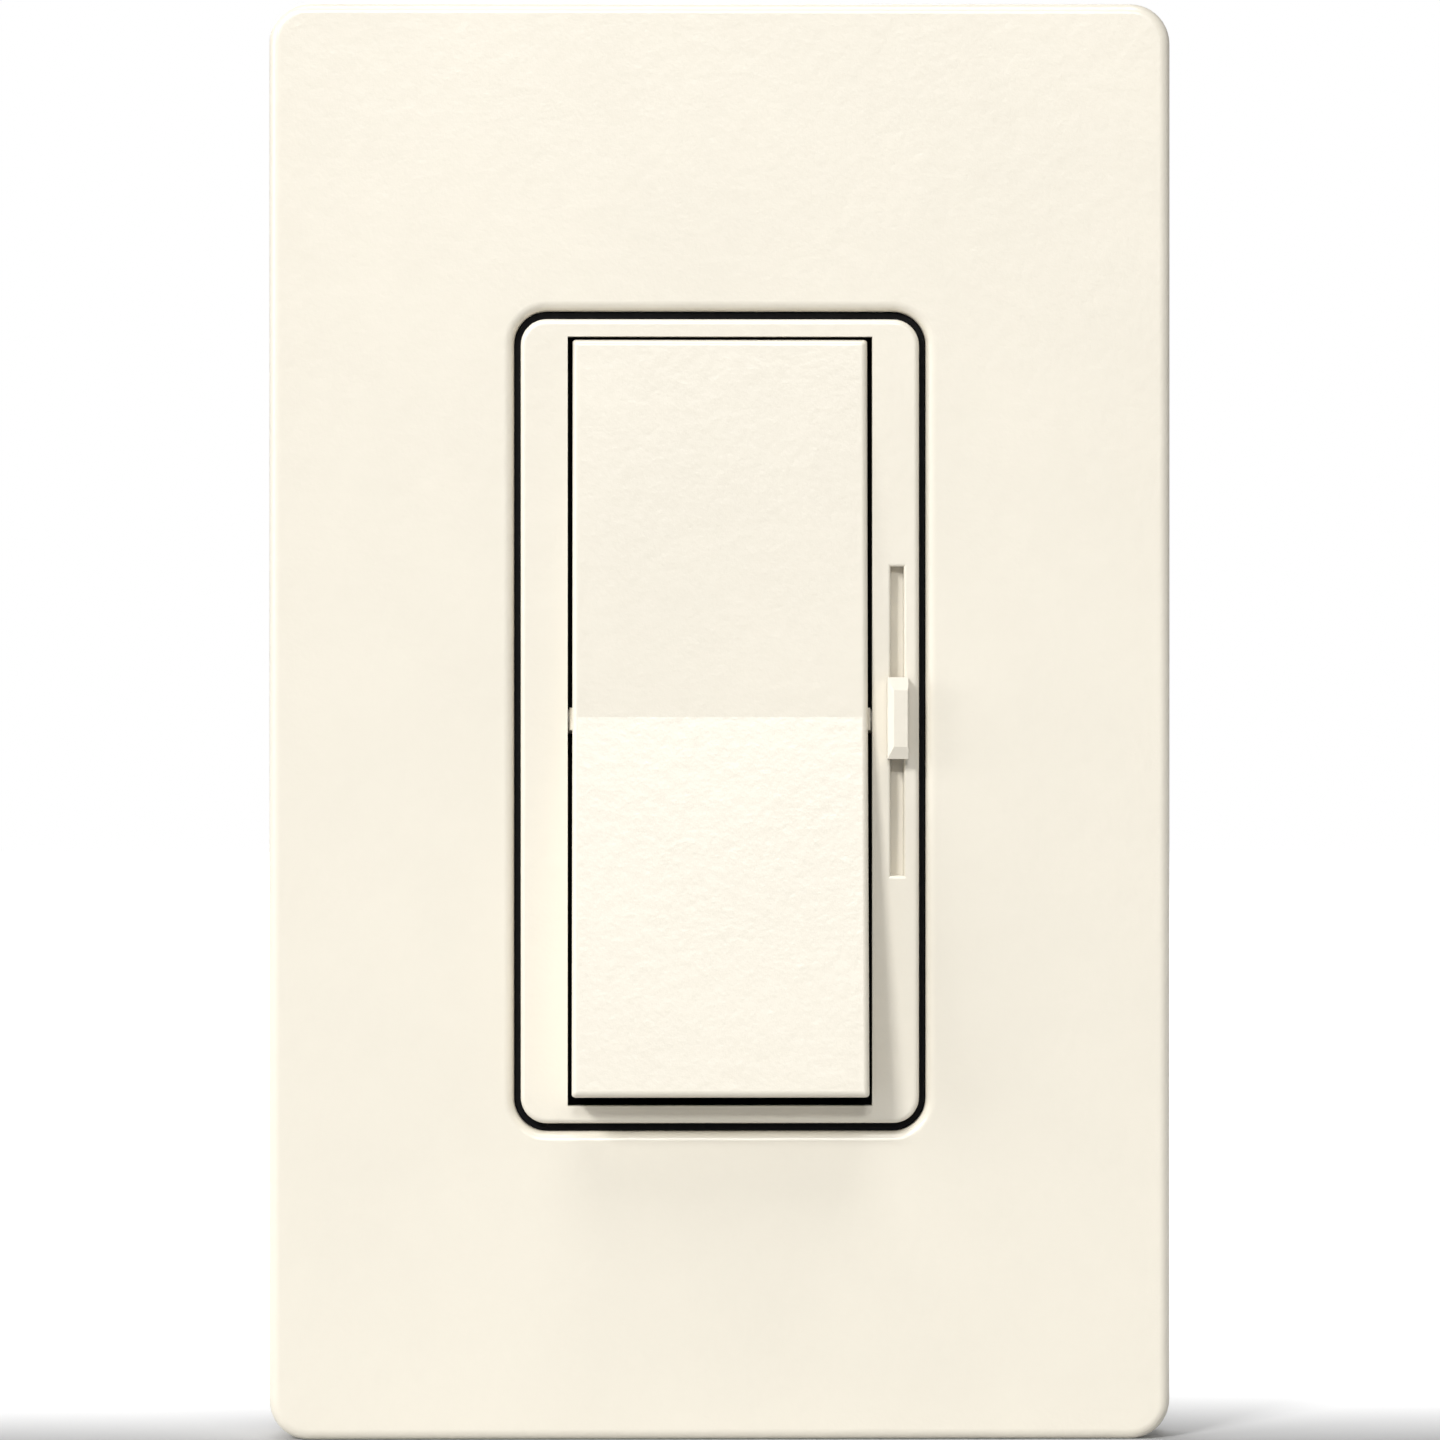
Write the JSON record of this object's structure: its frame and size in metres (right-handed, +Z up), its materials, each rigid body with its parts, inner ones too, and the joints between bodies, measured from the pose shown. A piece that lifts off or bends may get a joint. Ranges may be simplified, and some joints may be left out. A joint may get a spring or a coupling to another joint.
{
  "type": "dimmer slide switch",
  "caption": "Wall dimmer with a rocking on-off paddle, a small vertical level slider and a screwless clip-on wallplate over a metal yoke and boxed electronics.",
  "frame": {"origin": "midway between the two device screws, on the wall plane that the wallplate's rim and the yoke's ears lie on", "axes": "+Z up the switch, +Y into the wall along the device screws, +X to the right seen from the front; the face looks along -Y"},
  "size_m": [0.0746, 0.0402, 0.119],
  "materials": {
    "ivory_plate": "matte, fine moulded texture",
    "ivory_face": "matte, fine moulded texture",
    "black_plastic": "matte",
    "black_sheet": "dull fibre sheet",
    "aluminium": "rolled sheet, satin",
    "zinc_steel": "zinc plated",
    "green_steel": "green finish on the ground screw",
    "brass": "rolled brass",
    "silver_contact": "silver alloy contact",
    "board": "green laminate",
    "tan_phenolic": "phenolic laminate",
    "carbon_track": "printed resistive track",
    "white_plastic": "matte",
    "mica": "insulating pad",
    "ferrite": "powdered-iron ring",
    "copper_wire": "enamelled copper",
    "film_box": "moulded box",
    "red_film": "dipped film",
    "blue_disc": "dipped disc",
    "resistor_body": "coated film resistor",
    "diac_glass": "glass-bodied trigger diode"
  },
  "bodies": {
    "device": {"wallplate_cover": "ivory_plate", "wallplate_adapter": "black_plastic", "adapter_screws": "zinc_steel", "mounting_yoke": "aluminium", "mounting_screws": "zinc_steel", "ground_screw": "green_steel", "insulating_barrier": "black_sheet", "bezel": "ivory_face", "on_contact": "brass", "traveller_contact": "brass", "common_contact": "brass", "switch_carrier": "black_plastic", "pot_tracks": "carbon_track", "pot_track_board": "tan_phenolic", "pot_frame": "zinc_steel", "housing": "black_plastic", "housing_screws": "zinc_steel", "circuit_board": "board", "terminal_brackets": "brass", "terminal_clamps": "zinc_steel", "terminal_screws": "brass", "triac": "black_plastic", "triac_pad": "mica", "triac_screw": "zinc_steel", "choke_core": "ferrite", "choke_winding": "copper_wire", "film_capacitor": "film_box", "snubber_capacitor": "red_film", "varistor": "blue_disc", "resistors": "resistor_body", "diac": "diac_glass", "thermal_cutoff": "zinc_steel"},
    "paddle": {"paddle": "ivory_face", "plunger_spring": "zinc_steel"},
    "plunger": {"plunger": "white_plastic"},
    "contact_rocker": {"contact_rocker": "brass", "rocker_contacts": "silver_contact"},
    "slider": {"slider_knob": "ivory_face", "dust_strip": "ivory_face", "slider_carrier": "white_plastic", "slider_wiper": "brass"}
  },
  "joints": [
    {"name": "paddle_rock", "type": "hinge", "parent": "device", "child": "paddle", "pos_m": [0, -0.0049, 0], "axis": [1, 0, 0], "range_deg": [0, 8.8]},
    {"name": "contact_rock", "type": "hinge", "parent": "device", "child": "contact_rocker", "pos_m": [0, 0.0052, 0], "axis": [1, 0, 0], "range_deg": [-12, 0]},
    {"name": "plunger_press", "type": "slide", "parent": "paddle", "child": "plunger", "axis": [0, 0.9971, -0.0767], "range_m": [-0.0006, 0], "stiffness_N_per_m": 300, "springref_m": 0.002, "deforming": ["plunger_spring"]},
    {"name": "level_slide", "type": "slide", "parent": "device", "child": "slider", "axis": [0, 0, 1], "range_m": [-0.0096, 0.0091]}
  ],
  "couplings": [
    {"joint": "contact_rock", "follows": "paddle_rock", "ratio": -1.3636}
  ]
}
